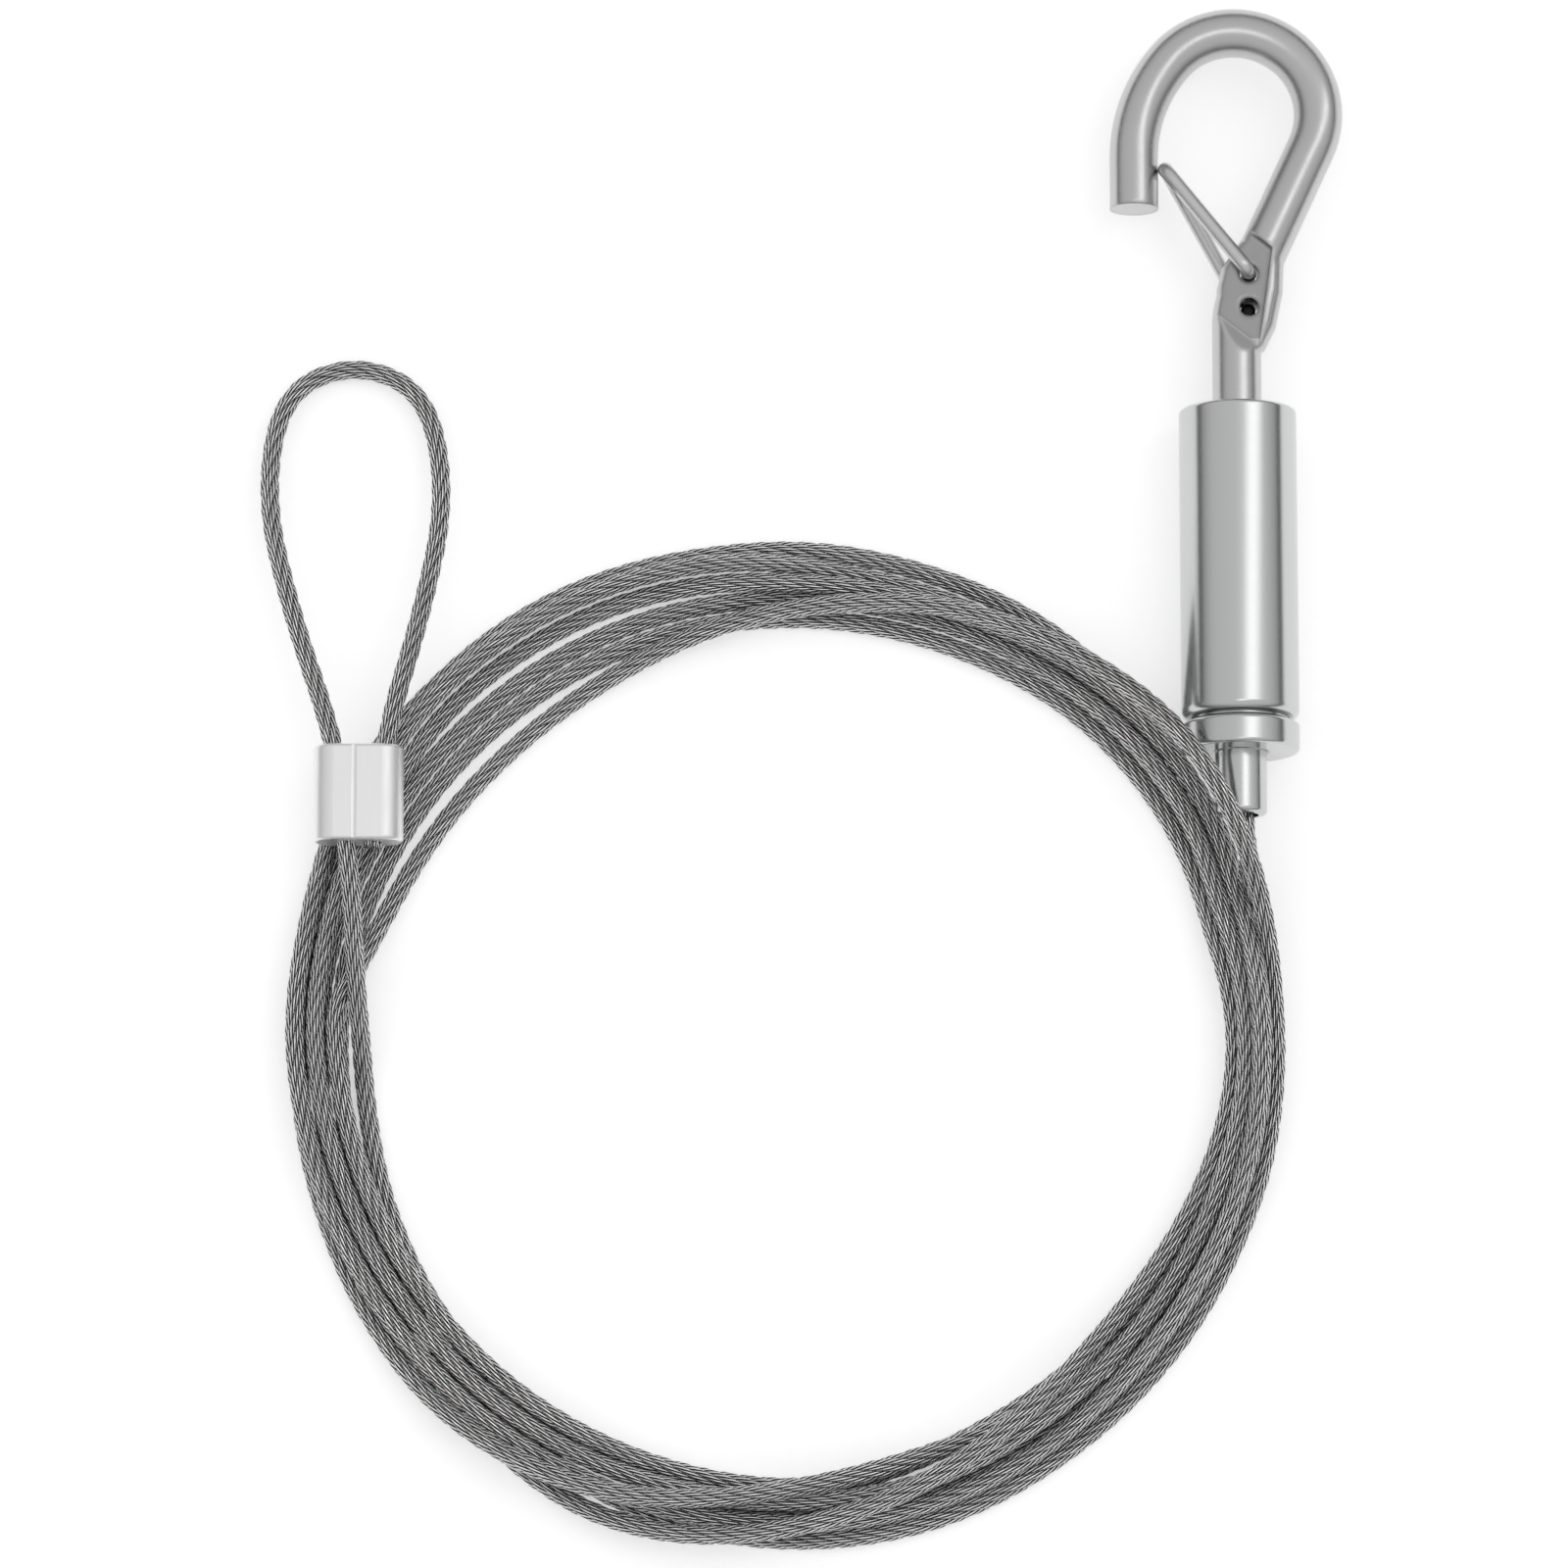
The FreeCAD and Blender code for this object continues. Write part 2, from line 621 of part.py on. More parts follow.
print(f"gripper and hook: centre {own.Center}, size {own.XLength:.2f} {own.YLength:.2f} {own.ZLength:.2f}")
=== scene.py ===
"""Looks of a 2 mm stainless wire rope sling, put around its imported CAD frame.

Metres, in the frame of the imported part.  The rope is one NURBS line from the inside of the gripper, round the
coil and the eye, to its dead end in the ferrule.  Six strands of seven wires are laid along that line.
"""

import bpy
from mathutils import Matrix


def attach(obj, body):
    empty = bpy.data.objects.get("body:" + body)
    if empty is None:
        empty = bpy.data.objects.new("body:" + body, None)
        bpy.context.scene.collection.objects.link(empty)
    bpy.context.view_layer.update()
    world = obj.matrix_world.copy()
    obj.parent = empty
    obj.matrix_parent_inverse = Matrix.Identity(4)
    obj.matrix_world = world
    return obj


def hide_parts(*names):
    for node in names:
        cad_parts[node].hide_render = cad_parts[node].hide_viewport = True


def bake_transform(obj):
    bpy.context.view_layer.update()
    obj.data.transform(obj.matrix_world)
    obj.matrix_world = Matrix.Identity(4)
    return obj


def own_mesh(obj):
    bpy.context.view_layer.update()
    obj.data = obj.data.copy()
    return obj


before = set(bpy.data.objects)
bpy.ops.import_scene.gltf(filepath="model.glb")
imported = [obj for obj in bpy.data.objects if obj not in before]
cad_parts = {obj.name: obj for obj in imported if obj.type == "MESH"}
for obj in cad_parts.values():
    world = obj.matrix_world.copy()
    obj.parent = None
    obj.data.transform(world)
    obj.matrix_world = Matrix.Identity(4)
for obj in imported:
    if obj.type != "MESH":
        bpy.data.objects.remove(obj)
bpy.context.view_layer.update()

import math

import bpy
import numpy as np
from mathutils import Vector

# ---------------------------------------------------------------- camera
SENSOR = 0.036
VIEW_WIDTH = 0.160
VIEW_DISTANCE = 0.870
VIEW_ELEVATION = math.radians(79)
VIEW_TARGET = Vector((-0.04545, -0.0379, 0))


def make_camera():
    data = bpy.data.cameras.new("camera")
    data.sensor_width = SENSOR * 1000
    data.lens = data.sensor_width * VIEW_DISTANCE / VIEW_WIDTH
    data.clip_start, data.clip_end = 0.01, 10
    camera = bpy.data.objects.new("camera", data)
    bpy.context.scene.collection.objects.link(camera)
    back = Vector((0, -math.cos(VIEW_ELEVATION), math.sin(VIEW_ELEVATION)))
    camera.location = VIEW_TARGET + VIEW_DISTANCE * back
    camera.rotation_mode = "QUATERNION"
    camera.rotation_quaternion = (-back).to_track_quat("-Z", "Y")
    bpy.context.scene.camera = camera


make_camera()

# ---------------------------------------------------------------- route of the rope
ROPE_D = 0.002
AXIS_X, AXIS_Z = 0.00087, 0.006
INLET = (AXIS_X, -0.0125, AXIS_Z)
LEAD = [
    (0.00087, -0.0330, 0.0060), (0.00087, -0.0380, 0.0060), (0.00135, -0.0445, 0.0057),
    (0.0020, -0.0495, 0.0039), (0.0030, -0.0545, 0.0019), (0.0040, -0.0595, 0.0011),
]
EYE = [
    (-0.0871, -0.0457, 0.0062), (-0.0863, -0.0352, 0.0062), (-0.0822, -0.0206, 0.0046),
    (-0.0800, -0.0085, 0.0030), (-0.0821, 0.0027, 0.0016), (-0.0896, 0.0061, 0.0011),
    (-0.0970, 0.0027, 0.0016), (-0.0986, -0.0085, 0.0030), (-0.0958, -0.0206, 0.0046),
    (-0.0908, -0.0352, 0.0062), (-0.0897, -0.0452, 0.0062),
]
FERRULE_LEAD = [
    (-0.0897, -0.0452, 0.0062), (-0.0891, -0.05065, 0.0062), (-0.0888, -0.0578, 0.0049),
    (-0.0882, -0.0650, 0.0030),
]

# The turns of the coil, from the ferrule to the gripper, counterclockwise.  Each place is an angle in
# degrees, a radius and a height in millimetres.  The radii were traced from the photograph and adjusted, and
# the heights were chosen to suit the crossings that it shows.
COIL_X, COIL_Y = -0.0453, -0.0652
COIL_START = (179.7, 42.9, 3.0)
COIL_END = (366.6, 49.6, 1.1)
TURNS = [
    [(190, 42.7, 1.6), (200, 43.4, 1.0), (210, 44.3, 1.0), (225, 44.8, 1.0), (240, 45.3, 1.0),
     (250, 46.0, 1.0), (270, 46.7, 1.0), (300, 47.0, 1.0), (315, 47.6, 1.6), (330, 47.8, 2.8),
     (345, 47.8, 2.9), (360, 47.8, 2.0)],
    [(12, 48.1, 1.2), (19, 48.7, 1.0), (26, 49.3, 1.0), (45, 49.9, 1.0), (60, 50.8, 1.0), (75, 51.0, 1.0),
     (90, 51.0, 1.0), (100, 51.4, 1.0), (112, 51.9, 1.0), (125, 51.9, 1.0), (140, 51.3, 1.0),
     (150, 50.8, 1.4), (157, 50.3, 2.4), (165, 49.9, 2.8), (180, 49.4, 3.0), (190, 49.1, 3.0),
     (200, 48.7, 3.0), (212, 48.5, 3.0), (225, 48.5, 3.0), (240, 48.5, 3.0), (270, 48.7, 2.7),
     (285, 49.0, 2.7), (300, 48.5, 2.7), (315, 48.0, 3.6), (330, 48.1, 4.8), (345, 48.1, 5.0),
     (360, 47.8, 4.8)],
    [(12, 47.7, 4.2), (18, 48.1, 3.6), (26, 49.3, 2.8), (32, 49.3, 2.8), (45, 49.1, 3.0), (60, 48.5, 2.2),
     (70, 47.9, 1.2), (80, 47.8, 1.0), (90, 48.1, 1.0), (110, 48.9, 1.0), (130, 49.0, 1.0), (145, 48.7, 1.0),
     (157, 48.1, 2.3), (165, 47.9, 2.9), (180, 47.3, 3.0), (190, 47.0, 3.0), (200, 46.7, 3.0),
     (212, 46.5, 3.0), (225, 46.5, 3.0), (270, 46.5, 2.7), (285, 46.7, 2.7), (300, 46.2, 2.7),
     (315, 45.8, 2.7), (330, 46.1, 2.7), (345, 46.7, 3.0), (360, 47.0, 3.0)],
    [(15, 47.1, 3.0), (26, 47.3, 2.9), (45, 47.3, 2.8), (60, 46.9, 2.7), (75, 46.5, 2.6), (90, 46.3, 2.5),
     (110, 46.1, 2.4), (130, 46.0, 2.4), (145, 46.1, 2.3), (155, 46.4, 1.8), (165, 47.0, 1.0),
     (175, 47.2, 1.0), (190, 47.4, 1.0), (200, 47.5, 1.0), (212, 47.9, 1.0), (225, 48.7, 1.0),
     (236, 50.0, 1.0), (245, 51.3, 1.2), (250, 51.3, 2.0), (255, 51.2, 2.8), (262, 50.5, 4.0),
     (270, 49.2, 4.8), (280, 47.9, 5.2), (290, 46.5, 5.4), (300, 45.0, 4.6), (315, 43.5, 3.6),
     (325, 43.4, 3.2), (335, 44.1, 3.0), (345, 44.9, 3.0), (360, 45.7, 3.0)],
    [(10, 45.6, 2.2), (18, 45.4, 1.2), (26, 45.6, 1.0), (45, 45.5, 1.0), (60, 45.2, 1.0), (75, 44.6, 1.0),
     (100, 44.6, 1.0), (130, 44.8, 1.0), (145, 45.1, 1.0), (160, 45.3, 1.0), (170, 45.4, 1.0),
     (180, 45.5, 1.0), (200, 45.5, 1.0), (210, 45.9, 1.0), (225, 46.7, 1.0), (240, 48.1, 1.0),
     (250, 49.1, 1.0), (262, 49.9, 1.0), (290, 50.2, 1.0), (300, 50.0, 1.2), (315, 49.8, 2.0),
     (330, 49.7, 3.0), (345, 49.4, 4.2), (360, 49.2, 5.4)],
    [(10, 49.7, 7.8), (20, 50.3, 9.6), (30, 50.3, 10.4), (36, 50.3, 10.4), (45, 50.0, 8.2), (60, 48.8, 5.6),
     (70, 47.7, 4.8), (80, 46.0, 4.4), (90, 44.8, 3.6), (100, 43.5, 2.8), (110, 42.4, 1.6), (120, 41.7, 1.0),
     (135, 41.4, 1.0), (145, 41.7, 1.0), (155, 42.2, 1.0), (160, 42.6, 1.2), (165, 43.2, 1.8),
     (170, 44.1, 2.6), (175, 45.3, 3.0), (180, 45.4, 3.0), (190, 45.2, 3.0), (200, 45.0, 3.0),
     (225, 44.7, 3.0), (255, 44.8, 2.7), (270, 45.1, 2.7), (280, 44.7, 2.4), (290, 43.9, 1.4),
     (300, 43.6, 1.0), (315, 43.9, 1.0), (330, 45.0, 1.0), (345, 45.8, 1.0), (360, 46.2, 1.0)],
    [(10, 46.9, 1.0), (18, 47.4, 1.0), (26, 47.5, 1.0), (45, 48.0, 1.0), (60, 49.0, 1.6), (75, 49.3, 2.4),
     (90, 49.8, 2.6), (105, 50.6, 2.6), (120, 50.9, 2.7), (138, 50.7, 2.7), (148, 50.0, 2.0),
     (157, 49.2, 1.0), (165, 49.0, 1.0), (180, 49.1, 1.0), (195, 49.1, 1.0), (205, 49.5, 1.0),
     (215, 50.1, 1.0), (225, 50.6, 1.4), (232, 50.6, 3.0), (240, 50.0, 4.4), (250, 48.9, 4.9),
     (258, 47.4, 4.9), (266, 46.0, 4.6), (275, 44.8, 3.8), (283, 44.1, 3.0), (290, 44.0, 2.4),
     (300, 44.5, 1.4), (315, 45.8, 1.0), (330, 46.9, 1.0), (345, 48.2, 1.0), (355, 48.9, 1.0)],
]
MM = 0.001
TURN_STEP = 5
SETTLE_STEPS = 300
CROSSING_REACH = 4
ROPE_R_MM = ROPE_D / 2 / MM
TURNS_APART = 2.08 * ROPE_R_MM
LEADS_APART = 2.4 * ROPE_R_MM
# The degrees at each end of the coil that its own lead doesn't push.
LEAD_JOIN = 30
# Places chosen higher than this ride over the gripper, given as stretches of Y, each with its radius.
OVER_GRIPPER = 5.5
GRIPPER_SPANS = ((-44.0, -36.7, 2.625), (-37.3, 5.0, 6.0))
GRIPPER_GAP = 1.15 * ROPE_R_MM
# Shares of a step: how much a bend evens out, a radius returns, a turn sinks, and two turns part.
EVENING, RETURN, SINKING, PARTING = 0.25, 0.06, 0.03, 0.35
PARTINGS = 3


def coil_places():
    """Angle, radius and height, in degrees and millimetres, at even steps along all the turns."""
    chosen = [COIL_START]
    for number, turn in enumerate(TURNS):
        chosen += [(angle + 360 * number, radius, height) for angle, radius, height in turn]
    chosen.append((COIL_END[0] + 360 * (len(TURNS) - 1), COIL_END[1], COIL_END[2]))
    chosen = np.array(chosen)
    first, last = chosen[0, 0], chosen[-1, 0]
    between = np.arange(math.ceil(first / TURN_STEP + 0.3), last / TURN_STEP - 0.3) * TURN_STEP
    angle = np.concatenate([[first], between, [last]])
    return angle, np.interp(angle, chosen[:, 0], chosen[:, 1]), np.interp(angle, chosen[:, 0], chosen[:, 2])


def lead_beside_turns(angle, lead, first):
    """Where the turns pass a lead, from its chosen point first on, and the lead's radius and height there."""
    lead = [(x / MM - COIL_X / MM, y / MM - COIL_Y / MM, z / MM) for x, y, z in lead[first:]]
    lead.sort(key=lambda p: math.degrees(math.atan2(p[1], p[0])))
    at = [math.degrees(math.atan2(y, x)) for x, y, z in lead]
    beside = (angle % 360 > at[0]) & (angle % 360 < at[-1])
    radius = np.interp(angle % 360, at, [math.hypot(x, y) for x, y, z in lead])
    return beside, radius, np.interp(angle % 360, at, [z for x, y, z in lead])


def crossings(column, radius, height):
    """For each pair of places, 1 where the first passes over the second, -1 where under and 0 elsewhere."""
    count = len(radius)
    over = np.zeros((count, count))
    for i in range(1, count - 1):
        for j in range(i + 1, count - 1):
            if column[i] != column[j] or (radius[i] - radius[j]) * (radius[i + 1] - radius[j + 1]) > 0:
                continue
            span = range(-CROSSING_REACH, CROSSING_REACH + 2)
            span = [k for k in span if i + k >= 0 and j + k < count]
            above = 1 if sum(height[i + k] - height[j + k] for k in span) > 0 else -1
            for k in span:
                over[i + k, j + k] = above
    return over


def settle(angle, radius, height):
    """Lets the turns sink onto the surface and onto each other, at least a rope diameter apart."""
    wanted, ends = radius.copy(), (radius[[0, -1]], height[[0, -1]])
    rides_over = height > OVER_GRIPPER
    column = np.round(angle / TURN_STEP).astype(int) % round(360 / TURN_STEP)
    one, two = np.nonzero(np.triu(column[:, None] == column[None, :], 1))
    over = crossings(column, radius, height)[one, two]
    leads = [lead_beside_turns(angle, LEAD, 1), lead_beside_turns(angle, FERRULE_LEAD, 1)]
    leads[0][0][-round(LEAD_JOIN / TURN_STEP):] = False
    leads[1][0][:round(LEAD_JOIN / TURN_STEP)] = False
    for step in range(SETTLE_STEPS):
        for a in (radius, height):
            a[2:-2] += EVENING / 6 * (4 * a[1:-3] - a[:-4] - 6 * a[2:-2] + 4 * a[3:-1] - a[4:])
        radius += RETURN * (wanted - radius)
        height -= SINKING * (1 - step / SETTLE_STEPS)
        for _ in range(PARTINGS):
            across, up = radius[one] - radius[two], height[one] - height[two]
            gap = np.hypot(across, up) + 1e-9
            push = np.where(over == 0, PARTING * np.maximum(TURNS_APART - gap, 0) / gap, 0)
            lift = np.sqrt(np.maximum(TURNS_APART**2 - across**2, 0)) - over * up
            lift = np.where(over == 0, up * push, PARTING * over * np.maximum(lift, 0))
            np.add.at(radius, one, across * push)
            np.add.at(radius, two, -across * push)
            np.add.at(height, one, lift)
            np.add.at(height, two, -lift)
            for beside, lead_radius, lead_height in leads:
                across, up = radius - lead_radius, height - lead_height
                gap = np.hypot(across, up) + 1e-9
                push = np.where(beside, np.maximum(LEADS_APART - gap, 0) / gap, 0)
                radius += across * push
                height += up * push
            x = COIL_X / MM + radius * np.cos(np.radians(angle)) - AXIS_X / MM
            y = COIL_Y / MM + radius * np.sin(np.radians(angle))
            for low, high, gripper_r in GRIPPER_SPANS:
                reach = gripper_r + GRIPPER_GAP
                above = rides_over & (y > low) & (y <= high) & (abs(x) < reach)
                crest = AXIS_Z / MM + np.sqrt(np.maximum(reach**2 - x**2, 0))
                height[above] = np.maximum(height, crest)[above]
            np.maximum(height, ROPE_R_MM, out=height)
            radius[[0, -1]], height[[0, -1]] = ends
    return radius, height


def coil_points():
    """Points of the coil in the row frame, from the gripper's end to the ferrule's."""
    angle, radius, height = coil_places()
    radius, height = settle(angle, radius, height)
    turn = np.radians(angle)
    x = COIL_X + MM * radius * np.cos(turn)
    y = COIL_Y + MM * radius * np.sin(turn)
    return [tuple(p) for p in np.column_stack([x, y, MM * height])[::-1]]


def nurbs_line(name, points):
    """A smooth open NURBS curve with these control points."""
    data = bpy.data.curves.new(name, "CURVE")
    data.dimensions = "3D"
    spline = data.splines.new("NURBS")
    spline.points.add(len(points) - 1)
    for point, place in zip(spline.points, points):
        point.co = (*place, 1)
    spline.order_u = 3
    spline.use_endpoint_u = True
    spline.resolution_u = 16
    return bpy.data.objects.new(name, data)


def read_line(curve):
    """The points of a curve with no bevel, in order."""
    bpy.context.scene.collection.objects.link(curve)
    mesh = bpy.data.meshes.new_from_object(curve.evaluated_get(bpy.context.evaluated_depsgraph_get()))
    points = np.array([v.co for v in mesh.vertices])
    bpy.data.meshes.remove(mesh)
    bpy.data.objects.remove(curve)
    return points


route = [INLET, *LEAD, *coil_points()[1:-1], *reversed(FERRULE_LEAD), *reversed(EYE[:-1])]
rope_line = read_line(nurbs_line("rope_route", route))

# ---------------------------------------------------------------- strands
RING_STEP = 0.0006
STRAND_LAY = 0.0135
WIRE_LAY = -0.0060
WIRE_R = ROPE_D / 18
STRAND_R = 3 * WIRE_R
WIRE_POINTS = 4
# Wires about the middle one of a strand, and strands about the core strand.
ROUND_ONE = 6


def even_frames(points, step):
    """Points at an even step along a line, with a tangent and two normals that do not twist."""
    run = np.linalg.norm(np.diff(points, axis=0), axis=1)
    along = np.concatenate([[0], np.cumsum(run)])
    count = int(round(along[-1] / step)) + 1
    at = np.linspace(0, along[-1], count)
    place = np.column_stack([np.interp(at, along, points[:, i]) for i in range(3)])
    tangent = np.gradient(place, axis=0)
    tangent /= np.linalg.norm(tangent, axis=1)[:, None]
    normal = np.empty_like(place)
    normal[0] = np.cross(tangent[0], (1, 0, 0))
    for i in range(1, count):
        normal[i] = normal[i - 1] - tangent[i] * (normal[i - 1] @ tangent[i])
        normal[i] /= np.linalg.norm(normal[i])
    return at, place, tangent, normal, np.cross(tangent, normal)


def wire_outline(points):
    """Angle, radius, depth and wire number round a strand of six wires about a middle one."""
    outline = []
    for wire in range(ROUND_ONE):
        for i in range(points):
            off = math.radians(360 / ROUND_ONE) * (i / points - 0.5)
            across = 2 * WIRE_R * math.sin(off)
            radius = 2 * WIRE_R * math.cos(off) + math.sqrt(max(WIRE_R**2 - across**2, 0))
            angle = math.radians(360 / ROUND_ONE * wire) + off
            outline.append((angle, radius, abs(i / points - 0.5) * 2, wire))
    return np.array(outline).T


def strand(name, frames, offset, start, material, rng):
    """One strand as a closed twisted tube whose section is the outline of its wires."""
    at, place, tangent, normal, other = frames
    lay = 2 * math.pi * at / STRAND_LAY + start
    out = np.cos(lay)[:, None] * normal + np.sin(lay)[:, None] * other
    side = np.cross(tangent, out)
    middle = place + offset * out
    around, radius, depth, wire = wire_outline(WIRE_POINTS)
    turn = around[None, :] + (2 * math.pi * at * (1 / WIRE_LAY - 1 / STRAND_LAY))[:, None]
    rings = (
        middle[:, None, :]
        + (radius * np.cos(turn))[:, :, None] * out[:, None, :]
        + (radius * np.sin(turn))[:, :, None] * side[:, None, :]
    )
    count, points = turn.shape
    vertices = rings.reshape(-1, 3)
    ring = np.arange(count - 1)[:, None] * points
    here = np.arange(points)
    ahead = (here + 1) % points
    quads = np.stack([ring + here, ring + ahead, ring + points + ahead, ring + points + here], axis=-1)
    faces = quads.reshape(-1, 4).tolist()
    faces.append(list(range(points))[::-1])
    faces.append(list(range((count - 1) * points, count * points)))
    mesh = bpy.data.meshes.new(name)
    mesh.from_pydata(vertices.tolist(), [], faces)
    mesh.shade_smooth()
    groove = mesh.attributes.new("groove", "FLOAT", "POINT")
    groove.data.foreach_set("value", np.tile(depth, count))
    tone = mesh.attributes.new("tone", "FLOAT", "POINT")
    tone.data.foreach_set("value", np.tile(rng.uniform(0, 1, ROUND_ONE)[wire.astype(int)], count))
    mesh.materials.append(material)
    piece = bpy.data.objects.new(name, mesh)
    bpy.context.scene.collection.objects.link(piece)
    return piece


# ---------------------------------------------------------------- materials
PATCH_SCALE, SPECK_SCALE = 260.0, 2600.0
WIRE_PATCH_SCALE, WIRE_SPECK_SCALE = 700.0, 6000.0
EDGE_SOFTNESS = 0.0007
EDGE_SAMPLES = 6
# The hook's pressed flats, darkened with painted shade: middle and half length along Y, half the depth between
# them, least levelness, and the share of painted shade.
FLAT_Y = 0.0125
FLAT_HALF_LENGTH = 0.0055
FLAT_HALF_DEPTH = 0.0019
FLAT_LEVEL = 0.9
FLAT_PAINTED_SHADE = 0.35
# The hook's pin holes, nearly black inside with painted shade.
HOLE_X = 0.00212
HOLE_YS = (0.01385, 0.01035)
HOLE_REACH = 0.001
HOLE_HALF_DEPTH = 0.00155
HOLE_PAINTED_SHADE = 0.97


def node_maker(tree):
    """A helper that adds a node to a tree, with its inputs linked or set."""

    def node(kind, inputs=None, **settings):
        made = tree.nodes.new(kind)
        for key, value in settings.items():
            setattr(made, key, value)
        for key, value in (inputs or {}).items():
            if isinstance(value, bpy.types.NodeSocket):
                tree.links.new(value, made.inputs[key])
            else:
                made.inputs[key].default_value = value
        return made

    return node


def new_material(name):
    """A material with its node tree, shader and node helper."""
    material = bpy.data.materials.new(name)
    material.use_nodes = True
    tree = material.node_tree
    return material, tree, tree.nodes["Principled BSDF"], node_maker(tree)


def noise(node, place, scale, detail):
    """Grey noise at a place."""
    return node("ShaderNodeTexNoise", {"Vector": place, "Scale": scale, "Detail": detail}).outputs["Fac"]


def split(node, vector):
    """The X, Y and Z of a vector, by name."""
    return node("ShaderNodeSeparateXYZ", {"Vector": vector}).outputs


def ramp(node, factor, stops):
    """A colour ramp from (position, grey or colour) stops."""
    made = node("ShaderNodeValToRGB", {"Fac": factor})
    band = made.color_ramp
    while len(band.elements) < len(stops):
        band.elements.new(1)
    for element, (position, value) in zip(band.elements, stops):
        element.position = position
        colour = value if isinstance(value, tuple) else (value, value, value)
        element.color = (*colour, 1)
    return made.outputs["Color"]


def metal(name, colour, roughness, grain, bump, worn):
    """Bare or plated metal: grain is the three scales of its finishing lines, worn the change in tone."""
    material, tree, shader, node = new_material(name)
    shader.inputs["Metallic"].default_value = 1
    place = node("ShaderNodeTexCoord").outputs["Object"]
    stretched = node("ShaderNodeVectorMath", {0: place, 1: grain}, operation="MULTIPLY").outputs["Vector"]
    lines = noise(node, stretched, 1.0, 4.0)
    patches = noise(node, place, PATCH_SCALE, 5.0)
    specks = noise(node, place, SPECK_SCALE, 3.0)
    mixed = node("ShaderNodeMath", {0: lines, 1: patches}, operation="ADD").outputs["Value"]
    dark = tuple(c * (1 - worn) for c in colour)
    light = tuple(min(1, c * (1 + worn)) for c in colour)
    tree.links.new(ramp(node, mixed, [(0.35, dark), (0.65, light)]), shader.inputs["Base Color"])
    finish = node("ShaderNodeMapRange", {
        "Value": lines, "From Min": 0.3, "From Max": 0.7,
        "To Min": roughness * 0.92, "To Max": roughness * 1.1,
    }).outputs["Result"]
    tree.links.new(finish, shader.inputs["Roughness"])
    height = node("ShaderNodeMath", {0: lines, 1: specks}, operation="ADD").outputs["Value"]
    relief = node("ShaderNodeBump", {"Height": height, "Strength": 1.0, "Distance": bump}).outputs["Normal"]
    tree.links.new(relief, shader.inputs["Normal"])
    return material


def steel_with_painted_shade(material, flat_shade):
    """Darkens a metal's base colour as painted shade on the hook's pressed flats that face up or down, and to
    near black inside the pin holes; softens its edges.
    """
    tree = material.node_tree
    shader = tree.nodes["Principled BSDF"]
    node = node_maker(tree)
    relief = shader.inputs["Normal"].links[0].from_node
    soft = node("ShaderNodeBevel", {"Radius": EDGE_SOFTNESS}, samples=EDGE_SAMPLES)
    tree.links.new(soft.outputs["Normal"], relief.inputs["Normal"])

    def value(operation, *inputs):
        return node("ShaderNodeMath", dict(enumerate(inputs)), operation=operation).outputs["Value"]

    place = split(node, node("ShaderNodeTexCoord").outputs["Object"])
    facing = split(node, node("ShaderNodeNewGeometry").outputs["True Normal"])
    from_middle = value("ABSOLUTE", value("SUBTRACT", place["Z"], AXIS_Z))
    from_flat = value("ABSOLUTE", value("SUBTRACT", place["Y"], FLAT_Y))
    # Painted shade: the pressed flats that face up or down get a darker base colour.
    flat_shade_mask = value("GREATER_THAN", value("ABSOLUTE", facing["Z"]), FLAT_LEVEL)
    flat_shade_mask = value("MULTIPLY", flat_shade_mask, value("LESS_THAN", from_middle, FLAT_HALF_DEPTH))
    flat_shade_mask = value("MULTIPLY", flat_shade_mask, value("LESS_THAN", from_flat, FLAT_HALF_LENGTH))
    shade = value("SUBTRACT", 1.0, value("MULTIPLY", flat_shade_mask, flat_shade))
    # Painted shade: the inside of each pin hole goes nearly black.
    for hole_y in HOLE_YS:
        off_x, off_y = value("SUBTRACT", place["X"], HOLE_X), value("SUBTRACT", place["Y"], hole_y)
        reach = value("SQRT", value("ADD", value("MULTIPLY", off_x, off_x), value("MULTIPLY", off_y, off_y)))
        near, deep = value("LESS_THAN", reach, HOLE_REACH), value("LESS_THAN", from_middle, HOLE_HALF_DEPTH)
        dark = value("MULTIPLY", value("MULTIPLY", near, deep), HOLE_PAINTED_SHADE)
        shade = value("MULTIPLY", shade, value("SUBTRACT", 1.0, dark))
    clean = shader.inputs["Base Color"].links[0].from_socket
    scaled = node("ShaderNodeVectorMath", {0: clean, "Scale": shade}, operation="SCALE")
    tree.links.new(scaled.outputs["Vector"], shader.inputs["Base Color"])
    return material


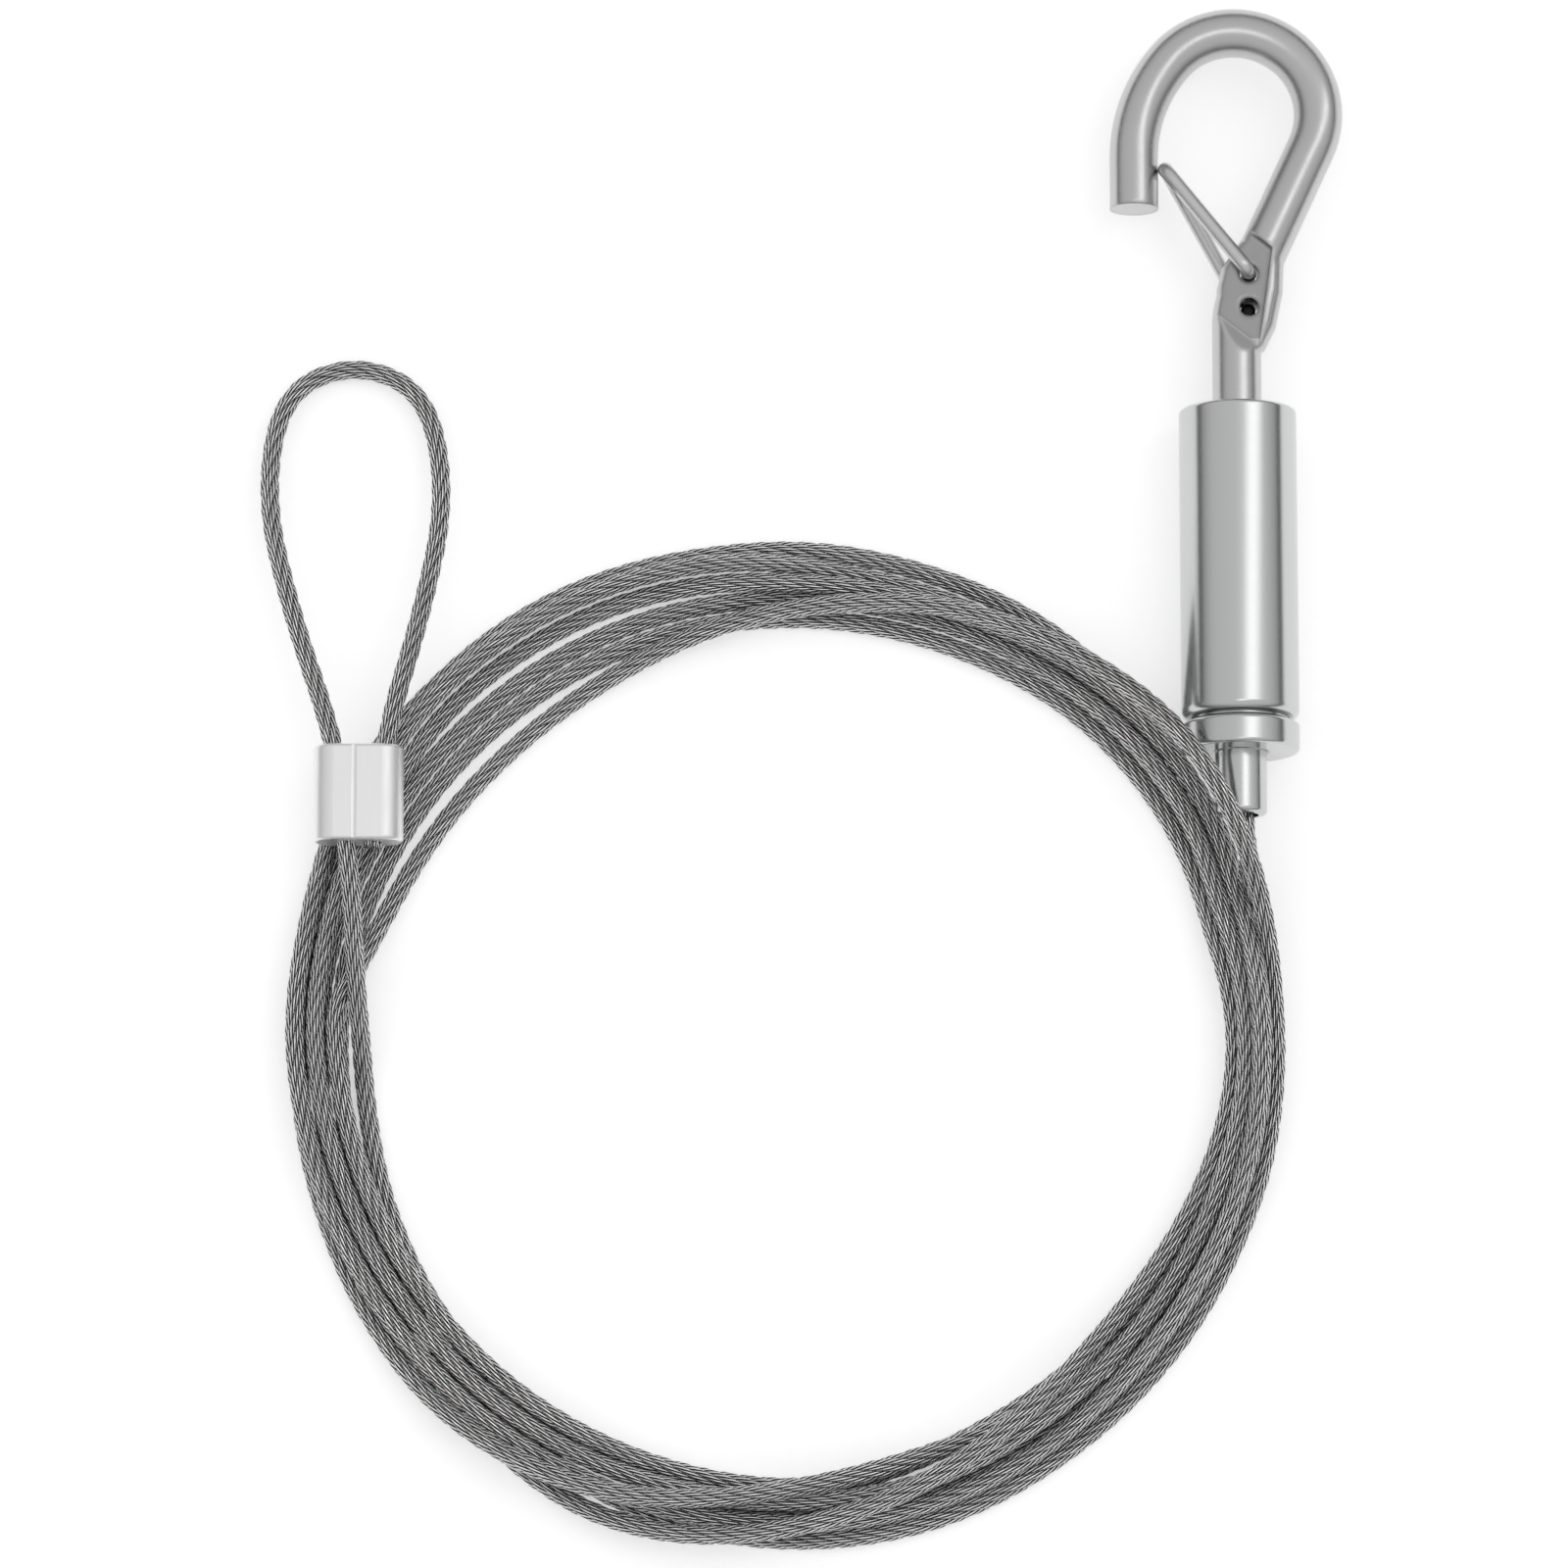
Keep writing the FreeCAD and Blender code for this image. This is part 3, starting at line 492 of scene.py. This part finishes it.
def wire_metal(name):
    """Drawn stainless wire: its base colour is darkened towards the grooves between the wires as painted shade,
    with a random tone for each wire.
    """
    material, tree, shader, node = new_material(name)
    shader.inputs["Metallic"].default_value = 0.8
    place = node("ShaderNodeTexCoord").outputs["Object"]
    groove = node("ShaderNodeAttribute", attribute_name="groove").outputs["Fac"]
    tone = node("ShaderNodeAttribute", attribute_name="tone").outputs["Fac"]
    patches = noise(node, place, WIRE_PATCH_SCALE, 4.0)
    specks = noise(node, place, WIRE_SPECK_SCALE, 2.0)
    crest = ramp(node, tone, [(0.0, (0.90, 0.90, 0.90)), (1.0, (1.0, 1.0, 1.0))])
    # Painted shade: the base colour goes black towards the grooves between the wires.
    painted_groove_shade = ramp(node, groove, [(0.30, 1.0), (0.56, 0.14), (0.74, 0.0)])

    def product(one, other):
        inputs = {"Factor": 1.0, "A": one, "B": other}
        return node("ShaderNodeMix", inputs, data_type="RGBA", blend_type="MULTIPLY").outputs["Result"]

    grime = ramp(node, patches, [(0.3, 0.8), (0.62, 1.0)])
    tree.links.new(product(product(crest, painted_groove_shade), grime), shader.inputs["Base Color"])
    finish = node("ShaderNodeMapRange", {"Value": patches, "To Min": 0.13, "To Max": 0.23}).outputs["Result"]
    tree.links.new(finish, shader.inputs["Roughness"])
    relief = node("ShaderNodeBump", {"Height": specks, "Strength": 1.0, "Distance": 4e-6}).outputs["Normal"]
    tree.links.new(relief, shader.inputs["Normal"])
    return material


HOOK_STEEL = metal("tumbled_steel", (0.52, 0.52, 0.52), 0.25, (900, 500, 900), 1.5e-7, 0.05)
GATE_STEEL = metal("drawn_wire", (0.56, 0.56, 0.56), 0.24, (2500, 300, 2500), 2e-7, 0.06)
FINISHES = {
    "nickel": metal("satin_nickel", (0.58, 0.585, 0.585), 0.21, (200, 60000, 200), 1e-8, 0.008),
    "hook": steel_with_painted_shade(HOOK_STEEL, FLAT_PAINTED_SHADE),
    "gate": steel_with_painted_shade(GATE_STEEL, 0.0),
    "aluminium": metal("pressed_aluminium", (0.86, 0.86, 0.86), 0.42, (5000, 260, 5000), 8e-7, 0.03),
    "hard": metal("hardened_steel", (0.42, 0.42, 0.43), 0.30, (600, 9000, 600), 1e-6, 0.10),
    "ball": metal("ball_steel", (0.72, 0.72, 0.73), 0.08, (900, 900, 900), 2e-7, 0.03),
    "spring": metal("spring_steel", (0.38, 0.37, 0.36), 0.30, (3000, 3000, 3000), 1e-6, 0.10),
    "brass": metal("machined_brass", (0.78, 0.57, 0.26), 0.26, (500, 9000, 500), 1e-6, 0.08),
}
NODE_FINISH = {
    "barrel": "nickel",
    "end_plug": "nickel",
    "release_nozzle": "nickel",
    "hook": "hook",
    "gate": "gate",
    "gate_rear_leg": "gate",
    "ferrule": "aluminium",
    "ball_cage": "hard",
    "cone_sleeve": "hard",
    "spring_seat": "hard",
    "retaining_collar": "hard",
    "ball_1": "ball",
    "ball_2": "ball",
    "ball_3": "ball",
    "release_spring": "spring",
    "thrust_washer": "brass",
}
for node_name, finish_name in NODE_FINISH.items():
    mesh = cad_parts[node_name].data
    mesh.materials.clear()
    mesh.materials.append(FINISHES[finish_name])


def flexing_copy(node_name, name):
    """A free copy of a CAD piece in its place, with the CAD piece hidden."""
    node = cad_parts[node_name]
    piece = bpy.data.objects.new(name, node.data.copy())
    piece.matrix_world = node.matrix_world.copy()
    bpy.context.scene.collection.objects.link(piece)
    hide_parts(node_name)
    return piece


spring = flexing_copy("release_spring", "spring_coils")
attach(spring, "sling")
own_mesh(spring)
leg = flexing_copy("gate_rear_leg", "gate_wire_leg")
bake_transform(leg)

# ---------------------------------------------------------------- rope pieces
rng = np.random.default_rng(7)
frames = even_frames(rope_line, RING_STEP)
wire = wire_metal("rope_wire")
strands = [
    strand(f"rope_strand_{i + 1}", frames, 2 * STRAND_R, math.radians(360 / ROUND_ONE * i), wire, rng)
    for i in range(ROUND_ONE)
]
strands.append(strand("rope_core_strand", frames, 0, 0, wire, rng))
for piece in strands:
    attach(piece, "sling")
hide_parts("rope_inlet", "rope_lead", "rope_coil", "rope_ferrule_lead", "rope_eye")

# ---------------------------------------------------------------- floor and light
FLOOR_HALF = 1.5
FLOOR_WHITE = (0.92, 0.92, 0.92, 1)
FLOOR_ROUGHNESS = 0.9
FLOOR_SHEEN = 0.1
FLOOR_GLOW = 0.42
# Height and grey of the dome, from the horizon to the top.
DOME_STOPS = [(0.0, 0.04), (0.11, 0.05), (0.26, 0.46), (0.55, 0.68), (1.0, 0.75)]
KEY_PLACE = (0.25, 0.12, 0.75)
KEY_WIDTH, KEY_LENGTH = 0.15, 0.90
KEY_POWER = 0.52


def make_floor():
    mesh = bpy.data.meshes.new("floor")
    corners = [(-FLOOR_HALF, -FLOOR_HALF, 0), (FLOOR_HALF, -FLOOR_HALF, 0), (FLOOR_HALF, FLOOR_HALF, 0),
               (-FLOOR_HALF, FLOOR_HALF, 0)]
    mesh.from_pydata(corners, [], [(0, 1, 2, 3)])
    material, tree, shader, node = new_material("floor_white")
    shader.inputs["Base Color"].default_value = FLOOR_WHITE
    shader.inputs["Roughness"].default_value = FLOOR_ROUGHNESS
    shader.inputs["Specular IOR Level"].default_value = FLOOR_SHEEN
    shader.inputs["Emission Color"].default_value = (1, 1, 1, 1)
    shader.inputs["Emission Strength"].default_value = FLOOR_GLOW
    mesh.materials.append(material)
    floor = bpy.data.objects.new("floor", mesh)
    bpy.context.scene.collection.objects.link(floor)


def make_world():
    """A grey dome that is darkest near the horizon, as a dim room round a light tent is."""
    world = bpy.data.worlds.new("studio")
    world.use_nodes = True
    bpy.context.scene.world = world
    tree = world.node_tree
    node = node_maker(tree)
    height = split(node, node("ShaderNodeTexCoord").outputs["Generated"])["Z"]
    tree.links.new(ramp(node, height, DOME_STOPS), tree.nodes["Background"].inputs["Color"])


def softbox(name, place, aim, width, length, power):
    """A large soft rectangular lamp that points at aim."""
    data = bpy.data.lights.new(name, "AREA")
    data.shape = "RECTANGLE"
    data.size, data.size_y = width, length
    data.energy = power
    lamp = bpy.data.objects.new(name, data)
    lamp.location = place
    lamp.rotation_mode = "QUATERNION"
    lamp.rotation_quaternion = (Vector(aim) - Vector(place)).to_track_quat("-Z", "Y")
    bpy.context.scene.collection.objects.link(lamp)


make_floor()
make_world()
softbox("key", KEY_PLACE, VIEW_TARGET, KEY_WIDTH, KEY_LENGTH, KEY_POWER)
bpy.context.scene.view_settings.view_transform = "Standard"
